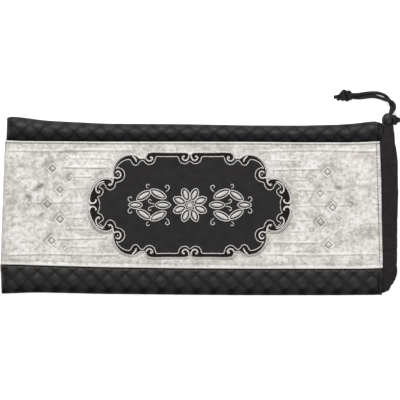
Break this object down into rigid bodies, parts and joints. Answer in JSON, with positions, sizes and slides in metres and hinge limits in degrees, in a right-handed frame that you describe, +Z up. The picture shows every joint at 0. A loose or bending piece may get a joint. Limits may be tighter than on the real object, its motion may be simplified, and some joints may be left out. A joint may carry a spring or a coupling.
{
  "type": "shofar bag",
  "caption": "Flat padded drawstring pouch with quilted bands, an embossed front panel, a lobed plaque and a beaded cord, lying on its back",
  "frame": {"origin": "on the ground under the middle of the bag, which lies on its back", "axes": "+X runs along the bag to its mouth, +Y across it to the side where the cord comes out, +Z up through the front panel"},
  "size_m": [0.3995, 0.2039, 0.0189],
  "materials": {
    "quilted_leather": "black quilted leatherette, fine grain, soft sheen",
    "embossed_leather": "cream and silver distressed leatherette, embossed",
    "plaque_leather": "black grained leatherette with silver satin embroidery",
    "casing_fabric": "plain black woven cloth",
    "cord": "black braided cord",
    "bead": "black, half gloss"
  },
  "bodies": {
    "root": {"back_panel": "quilted_leather", "top_band": "quilted_leather", "bottom_band": "quilted_leather", "front_panel": "embossed_leather", "plaque": "plaque_leather", "casing": "casing_fabric", "drawstring": "cord", "cord_strand_a": "cord", "cord_strand_b": "cord", "bead": "bead", "end_knot": "cord", "bead_knot": "cord"}
  },
  "joints": []
}
